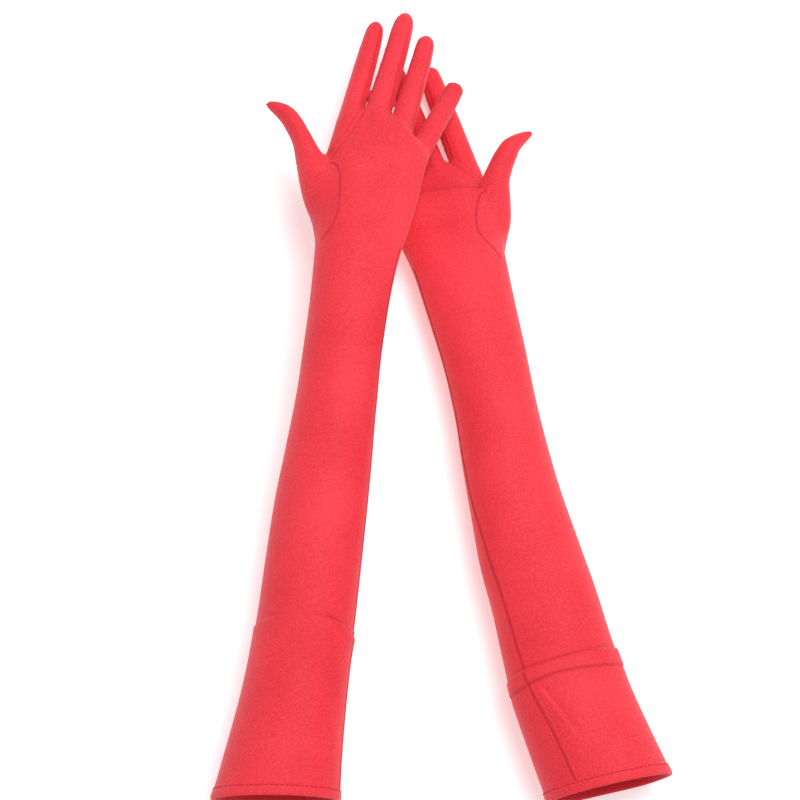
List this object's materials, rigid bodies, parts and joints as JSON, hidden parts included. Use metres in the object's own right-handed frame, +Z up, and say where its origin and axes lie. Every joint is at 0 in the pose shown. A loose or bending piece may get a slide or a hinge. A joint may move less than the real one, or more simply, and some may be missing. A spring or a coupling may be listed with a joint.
{
  "type": "opera gloves",
  "caption": "Pair of long red stretch-knit opera gloves, palms up, one hand crossed over the other; the fingers, thumbs, wrists and elbows bend and the sleeves are open.",
  "frame": {"origin": "middle of the pair's outline, on the table that it lies on", "axes": "+Z up from the table, +Y from the arm openings towards the fingertips, +X towards the right glove"},
  "size_m": [0.2873, 0.5604, 0.0813],
  "materials": {
    "red_knit": "semi-matt stretch knit",
    "seam_thread": "matt sewing thread"
  },
  "bodies": {
    "left_upper_sleeve": {"left_hem_band": "red_knit", "left_hem_stitching": "seam_thread", "left_upper_sleeve_panel": "red_knit", "left_upper_seam_thread": "seam_thread"},
    "left_forearm": {"left_forearm_panel": "red_knit", "left_forearm_seam_thread": "seam_thread"},
    "left_hand": {"left_palm_panel": "red_knit", "left_back_panel": "red_knit", "left_thumb_seam_thread": "seam_thread"},
    "left_thumb": {"left_thumb_panel": "red_knit"},
    "left_index": {"left_index_panel": "red_knit", "left_index_fourchette": "red_knit"},
    "left_middle": {"left_middle_front": "red_knit", "left_middle_back": "red_knit", "left_middle_index_fourchette": "red_knit", "left_middle_ring_fourchette": "red_knit"},
    "left_ring": {"left_ring_front": "red_knit", "left_ring_back": "red_knit", "left_ring_middle_fourchette": "red_knit", "left_ring_little_fourchette": "red_knit"},
    "left_little": {"left_little_front": "red_knit", "left_little_back": "red_knit", "left_little_fourchette": "red_knit"},
    "right_upper_sleeve": {"right_hem_band": "red_knit", "right_hem_stitching": "seam_thread", "right_upper_sleeve_panel": "red_knit", "right_upper_seam_thread": "seam_thread"},
    "right_forearm": {"right_forearm_panel": "red_knit", "right_forearm_seam_thread": "seam_thread"},
    "right_hand": {"right_palm_panel": "red_knit", "right_back_panel": "red_knit", "right_thumb_seam_thread": "seam_thread"},
    "right_thumb": {"right_thumb_panel": "red_knit"},
    "right_index": {"right_index_panel": "red_knit", "right_index_fourchette": "red_knit"},
    "right_middle": {"right_middle_front": "red_knit", "right_middle_back": "red_knit", "right_middle_index_fourchette": "red_knit", "right_middle_ring_fourchette": "red_knit"},
    "right_ring": {"right_ring_front": "red_knit", "right_ring_back": "red_knit", "right_ring_middle_fourchette": "red_knit", "right_ring_little_fourchette": "red_knit"},
    "right_little": {"right_little_front": "red_knit", "right_little_back": "red_knit", "right_little_fourchette": "red_knit"}
  },
  "joints": [
    {"name": "left_glove_lift", "type": "slide", "parent": "right_forearm", "child": "left_forearm", "axis": [0, 0, 1], "range_m": [0, 0.2]},
    {"name": "left_elbow_bend", "type": "hinge", "parent": "left_forearm", "child": "left_upper_sleeve", "pos_m": [-0.08842, -0.16627, 0.05714], "axis": [-0.991, 0.134, 0], "range_deg": [0, 100]},
    {"name": "left_wrist_bend", "type": "hinge", "parent": "left_forearm", "child": "left_hand", "pos_m": [-0.05429, 0.08619, 0.08057], "axis": [0.991, -0.134, 0], "range_deg": [0, 45]},
    {"name": "left_thumb_fold", "type": "hinge", "parent": "left_hand", "child": "left_thumb", "pos_m": [-0.07449, 0.1013, 0.06975], "axis": [0.1734, 0.9835, -0.0523], "range_deg": [0, 50]},
    {"name": "left_index_bend", "type": "hinge", "parent": "left_hand", "child": "left_index", "pos_m": [-0.0588, 0.19625, 0.0541], "axis": [0.9763, -0.2164, 0.0023], "range_deg": [0, 75]},
    {"name": "left_middle_bend", "type": "hinge", "parent": "left_hand", "child": "left_middle", "pos_m": [-0.03975, 0.19695, 0.05389], "axis": [0.9736, -0.2283, 0.0029], "range_deg": [0, 75]},
    {"name": "left_ring_bend", "type": "hinge", "parent": "left_hand", "child": "left_ring", "pos_m": [-0.02374, 0.18593, 0.05382], "axis": [0.9728, -0.2317, 0.0031], "range_deg": [0, 75]},
    {"name": "left_little_bend", "type": "hinge", "parent": "left_hand", "child": "left_little", "pos_m": [-0.0099, 0.16893, 0.05258], "axis": [0.9064, -0.4223, 0.0135], "range_deg": [0, 75]},
    {"name": "right_elbow_bend", "type": "hinge", "parent": "right_forearm", "child": "right_upper_sleeve", "pos_m": [0.08043, -0.1942, 0.058], "axis": [-0.9751, -0.2215, 0], "range_deg": [0, 100]},
    {"name": "right_wrist_tilt", "type": "hinge", "parent": "right_forearm", "child": "right_hand", "pos_m": [0.04606, 0.10379, 0], "axis": [0, 0, -1], "range_deg": [0, 12]},
    {"name": "right_thumb_fold", "type": "hinge", "parent": "right_hand", "child": "right_thumb", "pos_m": [0.03837, 0.10493, 0.029], "axis": [0.2756, -0.9613, 0], "range_deg": [0, 30]},
    {"name": "right_index_bend", "type": "hinge", "parent": "right_hand", "child": "right_index", "pos_m": [0.01902, 0.1724, 0.017], "axis": [0.9511, 0.309, 0], "range_deg": [0, 10]},
    {"name": "right_middle_bend", "type": "hinge", "parent": "right_hand", "child": "right_middle", "pos_m": [-0.00187, 0.17058, 0.017], "axis": [0.9397, 0.342, 0], "range_deg": [0, 9]},
    {"name": "right_ring_bend", "type": "hinge", "parent": "right_hand", "child": "right_ring", "pos_m": [-0.01667, 0.15801, 0.0165], "axis": [0.9272, 0.3746, 0], "range_deg": [0, 10]},
    {"name": "right_little_bend", "type": "hinge", "parent": "right_hand", "child": "right_little", "pos_m": [-0.02851, 0.14005, 0.0145], "axis": [0.8829, 0.4695, 0], "range_deg": [0, 10]}
  ]
}
